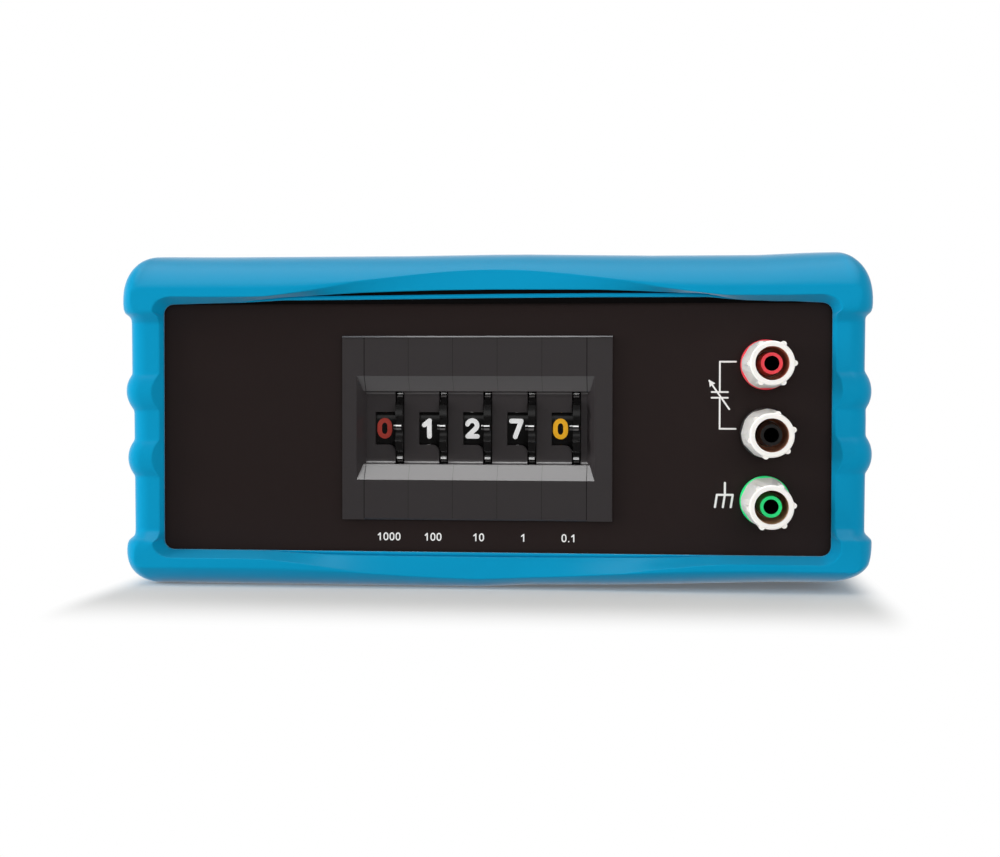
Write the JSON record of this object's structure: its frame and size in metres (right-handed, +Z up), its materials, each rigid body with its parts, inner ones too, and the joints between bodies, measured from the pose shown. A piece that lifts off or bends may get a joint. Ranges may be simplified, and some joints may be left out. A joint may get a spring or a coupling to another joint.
{
  "type": "capacitance decade box",
  "caption": "Bench capacitance decade box: a black instrument case in a ribbed rubber boot, with a row of thumbwheel switches and a column of binding posts on its front panel.",
  "frame": {"origin": "centre of the bounding box, on the surface the box stands on", "axes": "+X to the right seen from the front, +Y from the front panel to the rear, +Z up"},
  "size_m": [0.2134, 0.1704, 0.0959],
  "materials": {
    "boot_rubber": "satin moulded rubber, blue",
    "case_abs": "fine textured ABS, black",
    "panel_plastic": "matt film on ABS, black brown",
    "switch_plastic": "satin moulded plastic, dark grey",
    "wheel_plastic": "gloss moulded plastic, black",
    "knob_plastic": "gloss moulded plastic, white",
    "red_nylon": "moulded plastic, red",
    "black_nylon": "moulded plastic, black",
    "green_nylon": "moulded plastic, green",
    "nickel_brass": "nickel plated",
    "zinc_steel": "zinc plated",
    "spring_steel": "bright spring strip",
    "spring_bronze": "bright strip",
    "tinned_steel": "tinned sheet",
    "board_laminate": "glass epoxy laminate, green",
    "film_resin": "resin dipped, amber",
    "mica_resin": "resin dipped, brown",
    "natural_nylon": "natural nylon",
    "wire_pvc": "PVC insulation",
    "ribbon_pvc": "PVC ribbon, grey"
  },
  "bodies": {
    "instrument": {"rubber_boot": "boot_rubber", "case_bottom": "case_abs", "case_top": "case_abs", "case_screws": "zinc_steel", "front_panel": "panel_plastic", "rear_panel": "panel_plastic", "left_cheek": "switch_plastic", "right_cheek": "switch_plastic", "switch_housing_1": "switch_plastic", "switch_housing_2": "switch_plastic", "switch_housing_3": "switch_plastic", "switch_housing_4": "switch_plastic", "switch_housing_5": "switch_plastic", "detent_spring_1": "spring_steel", "detent_spring_2": "spring_steel", "detent_spring_3": "spring_steel", "detent_spring_4": "spring_steel", "detent_spring_5": "spring_steel", "contact_board_1": "board_laminate", "contact_board_2": "board_laminate", "contact_board_3": "board_laminate", "contact_board_4": "board_laminate", "contact_board_5": "board_laminate", "tie_bolts": "zinc_steel", "tie_nuts": "zinc_steel", "red_base": "red_nylon", "black_base": "black_nylon", "green_base": "green_nylon", "red_stud": "nickel_brass", "black_stud": "nickel_brass", "green_stud": "nickel_brass", "red_sleeve": "red_nylon", "black_sleeve": "black_nylon", "green_sleeve": "green_nylon", "rear_insulators": "black_nylon", "terminal_nuts": "nickel_brass", "solder_tags": "nickel_brass", "shield_tray": "tinned_steel", "board_standoffs": "natural_nylon", "capacitor_board": "board_laminate", "film_capacitors": "film_resin", "mica_capacitors": "mica_resin", "terminal_wires": "wire_pvc", "switch_ribbons": "ribbon_pvc"},
    "wheel_1": {"thumbwheel_1": "wheel_plastic", "contact_brush_1": "spring_bronze"},
    "wheel_2": {"thumbwheel_2": "wheel_plastic", "contact_brush_2": "spring_bronze"},
    "wheel_3": {"thumbwheel_3": "wheel_plastic", "contact_brush_3": "spring_bronze"},
    "wheel_4": {"thumbwheel_4": "wheel_plastic", "contact_brush_4": "spring_bronze"},
    "wheel_5": {"thumbwheel_5": "wheel_plastic", "contact_brush_5": "spring_bronze"},
    "red_washer": {"red_clamp_washer": "nickel_brass"},
    "red_nut": {"red_knob": "knob_plastic"},
    "black_washer": {"black_clamp_washer": "nickel_brass"},
    "black_nut": {"black_knob": "knob_plastic"},
    "green_washer": {"green_clamp_washer": "nickel_brass"},
    "green_nut": {"green_knob": "knob_plastic"}
  },
  "joints": [
    {"name": "thumbwheel_1_turn", "type": "hinge", "parent": "instrument", "child": "wheel_1", "pos_m": [-0.02682, -0.04263, 0.0456], "axis": [1, 0, 0], "continuous": true, "deforming": ["detent_spring_1"]},
    {"name": "thumbwheel_2_turn", "type": "hinge", "parent": "instrument", "child": "wheel_2", "pos_m": [-0.01412, -0.04263, 0.0456], "axis": [1, 0, 0], "continuous": true, "deforming": ["detent_spring_2"]},
    {"name": "thumbwheel_3_turn", "type": "hinge", "parent": "instrument", "child": "wheel_3", "pos_m": [-0.00142, -0.04263, 0.0456], "axis": [1, 0, 0], "continuous": true, "deforming": ["detent_spring_3"]},
    {"name": "thumbwheel_4_turn", "type": "hinge", "parent": "instrument", "child": "wheel_4", "pos_m": [0.01128, -0.04263, 0.0456], "axis": [1, 0, 0], "continuous": true, "deforming": ["detent_spring_4"]},
    {"name": "thumbwheel_5_turn", "type": "hinge", "parent": "instrument", "child": "wheel_5", "pos_m": [0.02398, -0.04263, 0.0456], "axis": [1, 0, 0], "continuous": true, "deforming": ["detent_spring_5"]},
    {"name": "red_knob_travel", "type": "slide", "parent": "instrument", "child": "red_washer", "axis": [0, -1, 0], "range_m": [0, 0.004]},
    {"name": "red_knob_turn", "type": "hinge", "parent": "red_washer", "child": "red_nut", "pos_m": [0.0768, -0.0712, 0.06365], "axis": [0, -1, 0], "range_deg": [0, 1800]},
    {"name": "black_knob_travel", "type": "slide", "parent": "instrument", "child": "black_washer", "axis": [0, -1, 0], "range_m": [0, 0.004]},
    {"name": "black_knob_turn", "type": "hinge", "parent": "black_washer", "child": "black_nut", "pos_m": [0.0768, -0.0712, 0.0446], "axis": [0, -1, 0], "range_deg": [0, 1800]},
    {"name": "green_knob_travel", "type": "slide", "parent": "instrument", "child": "green_washer", "axis": [0, -1, 0], "range_m": [0, 0.004]},
    {"name": "green_knob_turn", "type": "hinge", "parent": "green_washer", "child": "green_nut", "pos_m": [0.0768, -0.0712, 0.02555], "axis": [0, -1, 0], "range_deg": [0, 1800]}
  ],
  "couplings": [
    {"joint": "red_knob_turn", "follows": "red_knob_travel", "rad_per_m": 7853.9},
    {"joint": "black_knob_turn", "follows": "black_knob_travel", "rad_per_m": 7853.9},
    {"joint": "green_knob_turn", "follows": "green_knob_travel", "rad_per_m": 7853.9}
  ]
}
